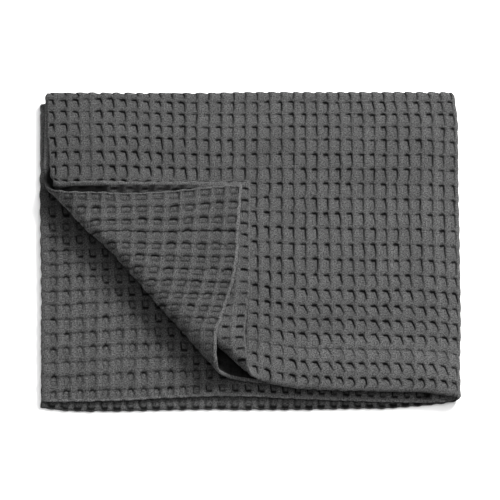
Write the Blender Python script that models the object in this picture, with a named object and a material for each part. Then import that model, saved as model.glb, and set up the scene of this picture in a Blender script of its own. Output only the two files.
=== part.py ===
"""A waffle weave cotton blanket, folded in quarters with its front left corner turned back.

The flat cloth is a rectangle: a runs along it and b across it, in metres. The first fold is the crease
at the back, and the second is the turn at the right, so that four layers lie one over the other. The
front left corner of the two top layers is then rolled over along a line at 45 degrees. Every shape
below follows the middle surface of the cloth, which gets its thickness at the end.
"""
import bpy
import numpy as np
from mathutils.geometry import delaunay_2d_cdt

SHEET = 0.0036  # thickness of the cloth
PITCH = 0.0046  # from the middle of one layer to the next, along the folds
LOFT = 0.42  # how much fuller the stack is away from its folds and edges
LEFT = -0.2465  # where the layers begin, on the left
RIGHT = 0.2420  # where the layers start to turn, on the right
BACK = 0.1972  # where the layers start to bend, at the back
FRONT = -0.1820  # where the layers begin, at the front
OVERHANG = 0.010  # how far the top two layers reach past the lower two at the back
OVERHANG_RUN = 0.12  # how far in front of the back the lower two start to fall short
OVERHANG_END = 0.3  # the share of a layer's length, from the right, over which that begins
FOLD_SUM = -0.158  # x + y all along the line where the corner turns
FOLD_ENDS = (-0.336, 0.168)  # x - y at that line's left end and at its front end
SETTLE = 0.045  # how far past its loop a turned layer lies flat
CENTRE = (-0.001637, 0.002550)  # middle of the folded blanket in x and y
RIM_THICKNESS = 0.0029  # thickness of the cloth at its rim
RIM_REACH = 0.0012  # how far the rim's rounding stands out

BOTTOM = 0.5 * SHEET  # height of the bottom layer's middle
TURN = 1.5 * PITCH  # radius of the outer layers' turn at the right
BEND = 0.5 * PITCH  # radius of the bend at the back
RUN = RIGHT - LEFT  # how long each layer is
DEPTH = BACK - FRONT  # how wide each layer is
LENGTH = 2 * RUN + np.pi * TURN  # the flat cloth's length
WIDTH = 2 * DEPTH + np.pi * BEND  # the flat cloth's width

# The front edge of each layer, from the top one down.
FRONT_EDGES = np.array([
    # x       y top    y second  y third  y bottom
    (-0.250, -0.1620, -0.1680, -0.1850, -0.1910),
    (-0.210, -0.1620, -0.1690, -0.1850, -0.1950),
    (-0.170, -0.1620, -0.1710, -0.1840, -0.1950),
    (-0.140, -0.1640, -0.1710, -0.1830, -0.1945),
    (-0.108, -0.1640, -0.1640, -0.1810, -0.1940),
    (-0.080, -0.1600, -0.1550, -0.1800, -0.1935),
    (-0.050, -0.1580, -0.1550, -0.1790, -0.1930),
    (-0.020, -0.1600, -0.1600, -0.1790, -0.1930),
    (0.005, -0.1620, -0.1630, -0.1795, -0.1930),
    (0.030, -0.1680, -0.1650, -0.1800, -0.1930),
    (0.060, -0.1725, -0.1690, -0.1815, -0.1930),
    (0.110, -0.1745, -0.1720, -0.1835, -0.1920),
    (0.160, -0.1750, -0.1740, -0.1850, -0.1915),
    (0.210, -0.1760, -0.1750, -0.1860, -0.1880),
    (0.235, -0.1790, -0.1785, -0.1850, -0.1850),
    (0.250, -0.1820, -0.1815, -0.1820, -0.1820),
])
# The left edge of each layer, from the top one down.
LEFT_EDGES = np.array([
    # y       x top    x second  x third  x bottom
    (-0.200, -0.2430, -0.2460, -0.2460, -0.2470),
    (-0.090, -0.2440, -0.2455, -0.2480, -0.2480),
    (-0.010, -0.2440, -0.2440, -0.2500, -0.2490),
    (0.045, -0.2440, -0.2440, -0.2515, -0.2505),
    (0.075, -0.2425, -0.2470, -0.2520, -0.2510),
    (0.110, -0.2435, -0.2480, -0.2525, -0.2515),
    (0.150, -0.2450, -0.2480, -0.2530, -0.2520),
    (0.200, -0.2460, -0.2480, -0.2540, -0.2530),
])
# The outermost line of the turn at the right.
RIGHT_SIDE = np.array([
    # y      x
    (-0.185, 0.2500),
    (-0.150, 0.2495),
    (-0.098, 0.2515),
    (0.066, 0.2515),
    (0.165, 0.2520),
    (0.200, 0.2480),
])
# The loop of each turned layer: how far before the line it starts, how far it reaches from there and
# half of its height. The share runs from the left end of the line to its front end.
LOOPS = np.array([
    # share   top: start, reach, rise     second: start, reach, rise
    (0.00, 0.0010, 0.0024, 0.00230, 0.0010, 0.0069, 0.00690),
    (0.10, 0.0010, 0.0025, 0.00230, 0.0010, 0.0072, 0.00690),
    (0.22, 0.0015, 0.0029, 0.00240, 0.0000, 0.0094, 0.00700),
    (0.33, 0.0015, 0.0029, 0.00250, 0.0000, 0.0072, 0.00700),
    (0.45, 0.0020, 0.0035, 0.00260, 0.0000, 0.0095, 0.00700),
    (0.60, 0.0030, 0.0050, 0.00300, 0.0000, 0.0150, 0.00740),
    (0.75, 0.0050, 0.0070, 0.00390, 0.0000, 0.0190, 0.00820),
    (0.90, 0.0090, 0.0090, 0.00500, 0.0000, 0.0230, 0.00950),
    (1.00, 0.0110, 0.0100, 0.00550, 0.0000, 0.0240, 0.01000),
])
# Long low swells of the whole stack.
SWELLS = (
    # size, waves along x and y per metre, offset
    (0.10, 19.0, 4.0, 0.6),
    (0.08, -6.0, 16.0, 1.1),
    (0.05, 31.0, -22.0, 2.3),
)
# Where the stack starts to get fuller on each side, and over how far it does.
FULL_LEFT = (-0.258, 0.06)
FULL_RIGHT = (0.252, 0.05)
FULL_BACK = (0.202, 0.07)
FULL_FRONT = (-0.205, 0.06)
# Lines of the mesh, as distances from an edge of the cloth and back from a fold.
EDGE_LINES = (0.0, 0.010, 0.024, 0.044)
FOLD_LINES = (0.030, 0.018, 0.009)
STRAIGHT_LINES = (15, 12)  # across each layer's length and width
BEND_LINES = 9  # round each fold
CORNER_LINES = 9  # round the turned corner
CORNER_STEPS = 25  # along the turned corner
BEFORE_CORNER = 0.007  # a line before the corner's roll
AFTER_CORNER = (0.006, 0.016)  # lines after it
CORNER_ZONE = (0.016, 0.024)  # how far before and after the roll the mesh has no other lines


def smooth(t):
    t = np.clip(t, 0, 1)
    return t * t * (3 - 2 * t)


def of_layer(table, at, inner, lower):
    """A value of a layer table, blended between its four layers by inner and lower, each from 0 to 1."""
    top, second, third, bottom = (np.interp(at, table[:, 0], table[:, k]) for k in (1, 2, 3, 4))
    upper_pair = (1 - inner) * top + inner * second
    lower_pair = (1 - inner) * bottom + inner * third
    return (1 - lower) * upper_pair + lower * lower_pair


def quarter_fold(a, b):
    """Places of flat points once the cloth is folded in quarters, and which layer they belong to."""
    bend = np.clip((b - DEPTH) / BEND, 0, np.pi)
    turn = np.clip((a - RUN) / TURN, 0, np.pi)
    inner = 0.5 - 0.5 * np.cos(bend)
    lower = 0.5 - 0.5 * np.cos(turn)
    y = FRONT + np.where(b < 0.5 * WIDTH, np.minimum(b, DEPTH), np.minimum(WIDTH - b, DEPTH))
    x = LEFT + np.where(a < 0.5 * LENGTH, np.minimum(a, RUN), np.minimum(LENGTH - a, RUN))
    radius = PITCH + BEND * np.cos(bend)
    y = y + BEND * np.sin(bend)
    x = x + radius * np.sin(turn)
    z = BOTTOM + TURN + radius * np.cos(turn)
    return x, y, z, inner, lower


def uneven_edges(x, y, inner, lower):
    """The same places with each layer's edges drawn to its own uneven lines."""
    to_front = np.clip((BACK - y) / DEPTH, 0, 1.1)
    to_left = np.clip((RIGHT - x) / RUN, 0, 1.1)
    to_right = np.clip(1 - to_left, 0, 1)
    front = (of_layer(FRONT_EDGES, x, inner, lower) - FRONT) * to_front ** 2
    back = OVERHANG * lower * smooth((y - BACK) / OVERHANG_RUN + 1) * smooth(to_left / OVERHANG_END)
    left = (of_layer(LEFT_EDGES, y, inner, lower) - LEFT) * to_left ** 3
    side = np.interp(y, RIGHT_SIDE[:, 0], RIGHT_SIDE[:, 1]) - RIGHT - TURN - BOTTOM
    return x + left + side * to_right ** 3, y + front - back


def loop_sizes(share, inner):
    """Start, reach, rise and length of the loop of each turned layer."""
    columns = [np.interp(share, LOOPS[:, 0], LOOPS[:, k]) for k in range(1, 7)]
    start, reach, rise = ((1 - inner) * columns[k] + inner * columns[k + 3] for k in range(3))
    mean = 3 * (reach + rise) - np.sqrt((3 * reach + rise) * (reach + 3 * rise))
    return start, reach, rise, 0.5 * np.pi * mean


def loop_angle(part, reach, rise):
    """The angle at this part of the way round half an ellipse."""
    angles = np.linspace(0, np.pi, 61)
    flatness = np.linspace(0.3, 1.2, 10)
    rounds = []
    for k in flatness:
        speed = np.hypot(np.cos(angles), k * np.sin(angles))
        gone = np.append(0, np.cumsum(speed[1:] + speed[:-1]))
        rounds.append(np.interp(part, gone / gone[-1], angles))
    at = np.clip((rise / reach - 0.3) / 0.1, 0, 8.999)
    low = at.astype(int)
    rows = np.arange(len(part))
    rounds = np.array(rounds)
    return rounds[low, rows] * (1 - at + low) + rounds[low + 1, rows] * (at - low)


def turn_corner(x, y, z, inner, lower):
    """The same places with the front left corner of the two top layers rolled back over them."""
    past = (FOLD_SUM - x - y) / np.sqrt(2)
    share = (x - y - FOLD_ENDS[0]) / (FOLD_ENDS[1] - FOLD_ENDS[0])
    start, reach, rise, length = loop_sizes(share, inner)
    gone = past + start
    angle = loop_angle(np.clip(gone / length, 0, 1), reach, rise)
    over = np.maximum(gone - length, 0)
    past = reach * np.sin(angle) - start - over
    flat = smooth(over / SETTLE)
    looped = z + rise * (1 - np.cos(angle))
    rest = BOTTOM + PITCH * (4 + inner)
    height = looped * (1 - flat) + rest * flat
    turning = (gone > 0) & (lower < 0.5)
    turned_x = 0.5 * (FOLD_SUM - np.sqrt(2) * past + x - y)
    turned_y = 0.5 * (FOLD_SUM - np.sqrt(2) * past - x + y)
    return np.where(turning, turned_x, x), np.where(turning, turned_y, y), np.where(turning, height, z)


def fuller(x, y, z):
    """Heights of a stack that is fuller inside than along its folds and edges."""
    inside = smooth((x - FULL_LEFT[0]) / FULL_LEFT[1]) * smooth((FULL_RIGHT[0] - x) / FULL_RIGHT[1])
    inside = inside * smooth((FULL_BACK[0] - y) / FULL_BACK[1]) * smooth((y - FULL_FRONT[0]) / FULL_FRONT[1])
    swell = 1 + sum(size * np.sin(p * x + q * y + offset) for size, p, q, offset in SWELLS)
    return BOTTOM + (z - BOTTOM) * (1 + LOFT * inside * swell)


def middle_surface(a, b):
    """Points in space of the middle of the cloth."""
    x, y, z, inner, lower = quarter_fold(a, b)
    x, y = uneven_edges(x, y, inner, lower)
    x, y, z = turn_corner(x, y, z, inner, lower)
    return np.stack([x - CENTRE[0], y - CENTRE[1], fuller(x, y, z)], axis=1)


def directions(a, b):
    """Unit vectors along a, along b and out of the cloth's outer face."""
    step = 0.0002
    along = middle_surface(a + step, b) - middle_surface(a - step, b)
    across = middle_surface(a, b + step) - middle_surface(a, b - step)
    out = np.cross(along, across)
    return [v / np.linalg.norm(v, axis=1, keepdims=True) for v in (along, across, out)]


def flat_place(x, y, inner):
    """The flat point that comes to this place in the top or second layer, before the corner turns."""
    u, v = x, y
    for _ in range(15):
        moved_x, moved_y = uneven_edges(u, v, inner, 0.0)
        u, v = u + x - moved_x, v + y - moved_y
    across = v - FRONT
    return u - LEFT, WIDTH - across if inner else across


def loop_row(inner, part, extra):
    """A row of flat points that runs along the turned corner's loop from the left edge to the front."""
    share = np.linspace(-0.15, 1.15, 400)
    start, _, _, length = loop_sizes(share, inner)
    past = part * length + extra - start
    spread = FOLD_ENDS[0] + share * (FOLD_ENDS[1] - FOLD_ENDS[0])
    total = FOLD_SUM - np.sqrt(2) * past
    a, b = flat_place(0.5 * (total + spread), 0.5 * (total - spread), inner)
    edge = WIDTH if inner else 0.0
    first = np.interp(0.0, a, share)
    to_edge = np.abs(b - edge) * np.where((b < 0) | (b > WIDTH), -1, 1)
    last = np.interp(0.0, -to_edge, share)
    picked = np.linspace(first, last, CORNER_STEPS)
    a, b = np.interp(picked, share, a), np.interp(picked, share, b)
    a[0], b[-1] = 0.0, edge
    return np.stack([a, b], axis=1)


def lines(size, straight, steps):
    """Places of grid lines across a folded side: close by the edges and the fold, wide between."""
    wide = np.linspace(EDGE_LINES[-1], straight - FOLD_LINES[0], steps)[1:-1]
    first = np.concatenate([EDGE_LINES, wide, straight - np.array(FOLD_LINES)])
    fold = np.linspace(straight, size - straight, BEND_LINES)
    return np.concatenate([first, fold, size - first[::-1]])


def near_loop(a, b):
    """Whether flat points lie where the rows of the turned corner are."""
    x, y, _, inner, lower = quarter_fold(a, b)
    x, y = uneven_edges(x, y, inner, lower)
    share = (x - y - FOLD_ENDS[0]) / (FOLD_ENDS[1] - FOLD_ENDS[0])
    start, _, _, length = loop_sizes(share, inner)
    gone = (FOLD_SUM - x - y) / np.sqrt(2) + start
    return (lower < 0.5) & (gone > -CORNER_ZONE[0]) & (gone < length + CORNER_ZONE[1])


def flat_points():
    """Flat points of the whole cloth, and the rows among them that stay edges."""
    a, b = np.meshgrid(lines(LENGTH, RUN, STRAIGHT_LINES[0]), lines(WIDTH, DEPTH, STRAIGHT_LINES[1]))
    grid = np.stack([a.ravel(), b.ravel()], axis=1)
    grid = grid[~near_loop(grid[:, 0], grid[:, 1])]
    rounds = [(0, -BEFORE_CORNER)] + [(part, 0) for part in np.linspace(0, 1, CORNER_LINES)]
    rounds += [(1, after) for after in AFTER_CORNER]
    rows = [loop_row(inner, part, extra) for inner in (0, 1) for part, extra in rounds]
    edges = []
    count = len(grid)
    for row in rows:
        edges += [(count + k, count + k + 1) for k in range(len(row) - 1)]
        count += len(row)
    return np.concatenate([grid] + rows), edges


def boundary(triangles):
    """The directed edges of the flat mesh that belong to one triangle."""
    sides = {(t[k], t[(k + 1) % 3]) for t in triangles for k in range(3)}
    return [side for side in sides if (side[1], side[0]) not in sides]


def flat_mesh():
    points, edges = flat_points()
    spots = [(float(p[0]), float(p[1])) for p in points]
    found = delaunay_2d_cdt(spots, edges, [], 0, 1e-6, False)
    places = np.array([tuple(p) for p in found[0]])
    return places, [tuple(t) for t in found[2]]


def side_of(share):
    """Minus one at the first edge of the cloth, one at the last edge and nought between them."""
    return np.where(share < 1e-5, -1.0, np.where(share > 1 - 1e-5, 1.0, 0.0))


def solid_cloth(places, triangles):
    """Points and faces of the cloth with its thickness and a rounded rim."""
    a, b = places[:, 0], places[:, 1]
    middle = middle_surface(a, b)
    along, across, out = directions(a, b)
    count = len(places)
    rim = boundary(triangles)
    at_rim = np.array(sorted({k for side in rim for k in side}))
    half = np.full(count, 0.5 * SHEET)
    half[at_rim] = 0.5 * RIM_THICKNESS
    outward = along * side_of(a / LENGTH)[:, None] + across * side_of(b / WIDTH)[:, None]
    edge_points = middle[at_rim] + RIM_REACH * outward[at_rim]
    points = np.concatenate([middle + out * half[:, None], middle - out * half[:, None], edge_points])
    spot = {k: 2 * count + n for n, k in enumerate(at_rim)}
    faces = list(triangles)
    faces += [(count + t[2], count + t[1], count + t[0]) for t in triangles]
    for i, j in rim:
        faces += [(i, spot[i], spot[j], j), (spot[i], count + i, count + j, spot[j])]
    return points, faces


def charcoal_cotton():
    material = bpy.data.materials.new("charcoal_cotton")
    material.use_nodes = True
    shader = material.node_tree.nodes["Principled BSDF"]
    shader.inputs["Base Color"].default_value = (0.09, 0.09, 0.095, 1.0)
    shader.inputs["Roughness"].default_value = 0.95
    return material


def build():
    for old in list(bpy.data.objects):
        bpy.data.objects.remove(old)
    points, faces = solid_cloth(*flat_mesh())
    mesh = bpy.data.meshes.new("blanket")
    mesh.from_pydata([tuple(p) for p in points], [], [tuple(int(k) for k in f) for f in faces])
    mesh.polygons.foreach_set("use_smooth", [True] * len(mesh.polygons))
    mesh.materials.append(charcoal_cotton())
    mesh.update()
    blanket = bpy.data.objects.new("blanket", mesh)
    bpy.context.scene.collection.objects.link(blanket)


build()
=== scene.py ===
"""The folded waffle weave cotton blanket as it looks: one closed sheet of cloth on the solid's folds.

The flat cloth is a rectangle: a runs along it and b across it, in metres. Two folds and a turned corner
bring it to its shape, as in the solid. The face that shows on the top layer is the cloth's outer face,
side 1, and the other one is its inner face, side -1.

The waffle cells are raised in the mesh. Columns of cells are numbered along a and rows along b, and each
layer has its own places for them. Before the corner turns, a place has x and y on its layer, and gone
says how far past the start of the corner's loop it is.
"""
from types import SimpleNamespace
import bpy
import numpy as np
from mathutils import Matrix, Vector


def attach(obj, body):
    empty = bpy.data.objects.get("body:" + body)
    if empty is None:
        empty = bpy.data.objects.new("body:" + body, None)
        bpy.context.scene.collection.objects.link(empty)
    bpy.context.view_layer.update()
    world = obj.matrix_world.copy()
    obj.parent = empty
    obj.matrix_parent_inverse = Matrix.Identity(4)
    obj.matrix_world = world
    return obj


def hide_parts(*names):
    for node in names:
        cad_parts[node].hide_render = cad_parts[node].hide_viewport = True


MILLIMETRE = 0.001
SHEET = 0.0036  # thickness of the cloth
PITCH = 0.0046  # from the middle of one layer to the next, along the folds
LOFT = 0.42  # how much fuller the stack is away from its folds and edges
LEFT = -0.2465  # where the layers begin, on the left
RIGHT = 0.2420  # where the layers start to turn, on the right
BACK = 0.1972  # where the layers start to bend, at the back
FRONT = -0.1820  # where the layers begin, at the front
OVERHANG = 0.010  # how far the top two layers reach past the lower two at the back
OVERHANG_RUN = 0.12  # how far in front of the back the lower two start to fall short
OVERHANG_END = 0.3  # the share of a layer's length, from the right, over which that begins
FOLD_SUM = -0.158  # x + y all along the line where the corner turns
FOLD_ENDS = (-0.336, 0.168)  # x - y at that line's left end and at its front end
SETTLE = 0.045  # how far past its loop a turned layer lies flat
CENTRE = (-0.001637, 0.002550)  # middle of the folded blanket in x and y

BOTTOM = 0.5 * SHEET
TURN = 1.5 * PITCH
BEND = 0.5 * PITCH
RUN = RIGHT - LEFT
DEPTH = BACK - FRONT
LENGTH = 2 * RUN + np.pi * TURN
WIDTH = 2 * DEPTH + np.pi * BEND

# The front edge of each layer, from the top one down.
FRONT_EDGES = np.array([
    # x       y top    y second  y third  y bottom
    (-0.250, -0.1620, -0.1680, -0.1850, -0.1910),
    (-0.210, -0.1620, -0.1690, -0.1850, -0.1950),
    (-0.170, -0.1615, -0.1705, -0.1840, -0.1950),
    (-0.140, -0.1622, -0.1677, -0.1830, -0.1945),
    (-0.108, -0.1616, -0.1592, -0.1810, -0.1940),
    (-0.080, -0.1570, -0.1508, -0.1800, -0.1935),
    (-0.050, -0.1542, -0.1540, -0.1785, -0.1930),
    (-0.020, -0.1572, -0.1600, -0.1780, -0.1930),
    (0.005, -0.1600, -0.1630, -0.1787, -0.1930),
    (0.030, -0.1675, -0.1650, -0.1800, -0.1930),
    (0.060, -0.1725, -0.1690, -0.1815, -0.1930),
    (0.110, -0.1745, -0.1720, -0.1835, -0.1920),
    (0.160, -0.1750, -0.1740, -0.1850, -0.1915),
    (0.210, -0.1760, -0.1750, -0.1860, -0.1880),
    (0.235, -0.1790, -0.1785, -0.1850, -0.1850),
    (0.250, -0.1820, -0.1815, -0.1820, -0.1820),
])
# The left edge of each layer, from the top one down.
LEFT_EDGES = np.array([
    # y       x top    x second  x third  x bottom
    (-0.200, -0.2430, -0.2550, -0.2460, -0.2470),
    (-0.150, -0.2433, -0.2505, -0.2467, -0.2475),
    (-0.120, -0.2437, -0.2465, -0.2475, -0.2477),
    (-0.085, -0.2440, -0.2418, -0.2480, -0.2480),
    (-0.050, -0.2440, -0.2412, -0.2490, -0.2485),
    (-0.010, -0.2440, -0.2418, -0.2500, -0.2490),
    (0.030, -0.2440, -0.2390, -0.2510, -0.2500),
    (0.048, -0.2438, -0.2398, -0.2515, -0.2505),
    (0.072, -0.2424, -0.2460, -0.2520, -0.2510),
    (0.081, -0.2396, -0.2466, -0.2521, -0.2511),
    (0.092, -0.2403, -0.2474, -0.2523, -0.2513),
    (0.110, -0.2408, -0.2480, -0.2525, -0.2515),
    (0.150, -0.2440, -0.2480, -0.2530, -0.2520),
    (0.200, -0.2460, -0.2480, -0.2540, -0.2530),
])
# The outermost line of the turn at the right.
RIGHT_SIDE = np.array([
    # y      x
    (-0.185, 0.2500),
    (-0.150, 0.2495),
    (-0.098, 0.2515),
    (0.066, 0.2515),
    (0.165, 0.2520),
    (0.200, 0.2480),
])
# The loop of each turned layer: how far before the line it starts, how far it reaches from there and
# half of its height. The share runs from the left end of the line to its front end.
LOOPS = np.array([
    # share   top: start, reach, rise     second: start, reach, rise
    (0.00, 0.0010, 0.0024, 0.00230, 0.0010, 0.0069, 0.00690),
    (0.10, 0.0010, 0.0025, 0.00230, 0.0010, 0.0072, 0.00690),
    (0.22, 0.0015, 0.0029, 0.00240, 0.0000, 0.0094, 0.00700),
    (0.33, 0.0015, 0.0029, 0.00250, 0.0000, 0.0072, 0.00700),
    (0.45, 0.0020, 0.0035, 0.00260, 0.0000, 0.0095, 0.00700),
    (0.60, 0.0030, 0.0050, 0.00300, 0.0000, 0.0150, 0.00740),
    (0.75, 0.0050, 0.0070, 0.00390, 0.0000, 0.0190, 0.00820),
    (0.90, 0.0090, 0.0090, 0.00500, 0.0000, 0.0230, 0.00950),
    (1.00, 0.0110, 0.0100, 0.00550, 0.0000, 0.0240, 0.01000),
])
# Long low swells of the whole stack.
SWELLS = (
    # size, waves along x and y per metre, offset
    (0.10, 19.0, 4.0, 0.6),
    (0.08, -6.0, 16.0, 1.1),
    (0.05, 31.0, -22.0, 2.3),
)
# Where the stack starts to get fuller on each side, and over how far it does.
FULL_LEFT = (-0.258, 0.06)
FULL_RIGHT = (0.252, 0.05)
FULL_BACK = (0.202, 0.07)
FULL_FRONT = (-0.205, 0.06)

# Lines of waffle cells along the cloth, by number, on the outer layers and on the inner ones.
OUTER_COLUMNS = np.array([
    # number  a
    (-0.41, 0.0),
    (0, 0.0060),
    (1, 0.0207),
    (7, 0.1088),
    (20, 0.2982),
    (33, 0.4787),
    (34, 0.4915),
    (35, 0.5056),
    (51, LENGTH - 0.2635),
    (68, LENGTH),
])
INNER_COLUMNS = np.array([
    (-0.05, 0.0),
    (0, 0.0008),
    (1, 0.0170),
    (2, 0.0337),
    (3, 0.0493),
    (5, 0.0790),
    (34, 0.4915),
    (35, 0.5056),
    (51, LENGTH - 0.2635),
    (68, LENGTH),
])
LAST_COLUMN = 68
# The same across the cloth, from the front edge to the crease, for the outer layers and for the second
# and the third one.
OUTER_ROWS = np.array([
    # number  distance from the edge
    (-0.78, 0.0),
    (0, 0.0146),
    (1, 0.0334),
    (2, 0.0515),
    (5, 0.1070),
    (11, 0.2248),
    (16, 0.3195),
    (18, 0.3535),
    (19, 0.3685),
    (20, 0.5 * WIDTH),
])
SECOND_ROWS = np.array([
    (-0.20, 0.0),
    (0, 0.0040),
    (1, 0.0241),
    (2, 0.0435),
    (3, 0.0645),
    (7, 0.1460),
    (19, 0.3685),
    (20, 0.5 * WIDTH),
])
THIRD_ROWS = np.array([
    (-0.62, 0.0),
    (0, 0.0115),
    (1, 0.0307),
    (2, 0.0480),
    (6, 0.1198),
    (12, 0.2200),
    (19, 0.3685),
    (20, 0.5 * WIDTH),
])
LEFT_ROWS_BACK = 0.0044  # how much further back the outer rows lie at the back left
THIRD_ROWS_SLANT = 0.0016  # how far the third layer's rows slant at the left
CREASE_ROW = 20
LAST_ROW = 40
CELLS_ALONG = LAST_COLUMN + 1  # cells of the mesh, with the narrow ones along the cloth's edges
CELLS_ACROSS = LAST_ROW + 2
TURN_COLUMN = 35
HEM_ROW = 2  # the line of cells along which the front hems are sewn
HEM_COLUMN = 3  # the same for the side hems
HEM = 0.0505  # width of the hems
ALBEDO = 0.050  # how light the charcoal cotton is
# Mesh steps in a cell: the most, and those where the cloth shows less, hardly or not at all.
FINE = 8
MEDIUM = 4
COARSE = 2
HIDDEN = 1
LAST_I = FINE * CELLS_ALONG  # the last mesh step along the cloth, and the last one across it
LAST_J = FINE * CELLS_ACROSS
# Places of the mesh lines inside a cell, close by its grooves, on the outer and on the inner layers.
OUTER_STEPS = np.array([0, 0.055, 0.12, 0.30, 0.50, 0.70, 0.88, 0.945, 1])
INNER_STEPS = np.array([0, 0.055, 0.17, 0.36, 0.44, 0.53, 0.74, 0.945, 1])
# The grooves round a pocket, by where they are in its cell as the photograph shows it. Left and low say
# where the pocket starts, as a share of the cell. Top, right, front and side are the depths of its upper,
# right, lower and left groove. Bow says how far the upper groove curves, link how much of it runs on over
# the rib, and short where the right groove ends, as a share of the cell from below.
# The groove depths also darken the colour as painted shade, deepest on the sides where shade falls in a
# pocket; the shaded looks paint the third layer where the layers above shade it.
STYLES = {
    # look          left  low   top   right front side  bow   link  short
    "outer": (0.66, 0.52, 0.95, 0.80, 0.05, 0.08, 0.03, 0.20, 0.12),
    "folded": (0.58, 0.52, 1.05, 0.95, 0.05, 0.10, 0.03, 0.24, 0.40),
    "sewn": (0.56, 0.52, 0.34, 0.32, 0.05, 0.10, 0.02, 0.20, 0.40),
    "hem": (0.56, 0.52, 0.95, 0.85, 0.06, 0.12, 0.09, 0.18, 0.44),
    "flap": (0.40, 0.54, 0.75, 0.45, 0.60, 0.30, 0.08, 0.50, 0.45),
    "flap_hem": (0.40, 0.54, 0.75, 0.55, 0.55, 0.35, 0.05, 0.35, 0.45),
    "flap_sewn": (0.40, 0.54, 0.85, 0.15, 0.10, 0.10, 0.10, 0.90, 0.45),
    "third": (0.54, 0.47, 0.80, 0.50, 0.12, 0.25, 0.14, 0.45, 0.40),
    "third_sewn": (0.56, 0.47, 0.50, 0.25, 0.10, 0.20, 0.12, 0.40, 0.40),
    "shaded": (0.56, 0.47, 0.45, 0.40, 0.90, 0.75, 0.05, 0.25, 0.40),
    "shaded_hem": (0.56, 0.66, 0.30, 0.30, 0.82, 0.88, 0.00, 0.10, 0.75),
    "upper_strip": (0.50, 0.50, 1.00, 0.45, 0.05, 0.10, 0.05, 0.10, 0.40),
    "lower_strip": (0.46, 0.50, 0.05, 0.15, 1.20, 0.70, 0.00, 0.10, 0.40),
}


def smooth(t):
    """A smooth step from 0 to 1 as t goes from 0 to 1."""
    t = np.clip(t, 0, 1)
    return t * t * (3 - 2 * t)


def mix(share, p, q):
    """From p at share 0 to q at share 1."""
    return (1 - share) * p + share * q


def read_off(table, at, k=1):
    """Value k of a table, at a place on or between its lines."""
    return np.interp(at, table[:, 0], table[:, k])


def of_layer(table, at, inner, lower):
    """A value of a layer table, blended between its four layers by inner and lower, each from 0 to 1."""
    top, second, third, bottom = (read_off(table, at, k) for k in (1, 2, 3, 4))
    return mix(lower, mix(inner, top, second), mix(inner, bottom, third))


def quarter_fold(a, b):
    """Places of flat points once the cloth is folded in quarters, and which layer they belong to."""
    bend = np.clip((b - DEPTH) / BEND, 0, np.pi)
    turn = np.clip((a - RUN) / TURN, 0, np.pi)
    inner = 0.5 - 0.5 * np.cos(bend)
    lower = 0.5 - 0.5 * np.cos(turn)
    y = FRONT + np.where(b < 0.5 * WIDTH, np.minimum(b, DEPTH), np.minimum(WIDTH - b, DEPTH))
    x = LEFT + np.where(a < 0.5 * LENGTH, np.minimum(a, RUN), np.minimum(LENGTH - a, RUN))
    radius = PITCH + BEND * np.cos(bend)
    y = y + BEND * np.sin(bend)
    x = x + radius * np.sin(turn)
    z = BOTTOM + TURN + radius * np.cos(turn)
    return x, y, z, inner, lower


def uneven_edges(x, y, inner, lower):
    """The same places with each layer's edges drawn to its own uneven lines."""
    to_front = np.clip((BACK - y) / DEPTH, 0, 1.1)
    to_left = np.clip((RIGHT - x) / RUN, 0, 1.1)
    to_right = np.clip(1 - to_left, 0, 1)
    front = (of_layer(FRONT_EDGES, x, inner, lower) - FRONT) * to_front ** 2
    back = OVERHANG * lower * smooth((y - BACK) / OVERHANG_RUN + 1) * smooth(to_left / OVERHANG_END)
    left = (of_layer(LEFT_EDGES, y, inner, lower) - LEFT) * to_left ** 3
    side = read_off(RIGHT_SIDE, y) - RIGHT - TURN - BOTTOM
    return x + left + side * to_right ** 3, y + front - back


def loop_sizes(share, inner):
    """Start, reach, rise and length of the loop of each turned layer."""
    start, reach, rise = (
        mix(inner, read_off(LOOPS, share, k), read_off(LOOPS, share, k + 3)) for k in (1, 2, 3)
    )
    mean = 3 * (reach + rise) - np.sqrt((3 * reach + rise) * (reach + 3 * rise))
    return start, reach, rise, 0.5 * np.pi * mean


def loop_angle(part, reach, rise):
    """The angle at this part of the way round half an ellipse."""
    angles = np.linspace(0, np.pi, 61)
    flatness = np.linspace(0.3, 1.2, 10)
    rounds = []
    for k in flatness:
        speed = np.hypot(np.cos(angles), k * np.sin(angles))
        gone = np.append(0, np.cumsum(speed[1:] + speed[:-1]))
        rounds.append(np.interp(part, gone / gone[-1], angles))
    at = np.clip((rise / reach - 0.3) / 0.1, 0, 8.999)
    low = at.astype(int)
    rows = np.arange(len(part))
    rounds = np.array(rounds)
    return rounds[low, rows] * (1 - at + low) + rounds[low + 1, rows] * (at - low)


def past_fold(x, y, inner):
    """How far a point of the top layers is past the start of the corner's loop, and the loop's sizes."""
    past = (FOLD_SUM - x - y) / np.sqrt(2)
    share = (x - y - FOLD_ENDS[0]) / (FOLD_ENDS[1] - FOLD_ENDS[0])
    start, reach, rise, length = loop_sizes(share, inner)
    return past + start, start, reach, rise, length


def turn_corner(x, y, z, inner, lower):
    """The same places with the front left corner of the two top layers rolled back over them."""
    gone, start, reach, rise, length = past_fold(x, y, inner)
    angle = loop_angle(np.clip(gone / length, 0, 1), reach, rise)
    over = np.maximum(gone - length, 0)
    past = reach * np.sin(angle) - start - over
    flat = smooth(over / SETTLE)
    looped = z + rise * (1 - np.cos(angle))
    rest = BOTTOM + PITCH * (4 + inner)
    height = looped * (1 - flat) + rest * flat
    turning = (gone > 0) & (lower < 0.5)
    turned_x = 0.5 * (FOLD_SUM - np.sqrt(2) * past + x - y)
    turned_y = 0.5 * (FOLD_SUM - np.sqrt(2) * past - x + y)
    return np.where(turning, turned_x, x), np.where(turning, turned_y, y), np.where(turning, height, z)


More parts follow.
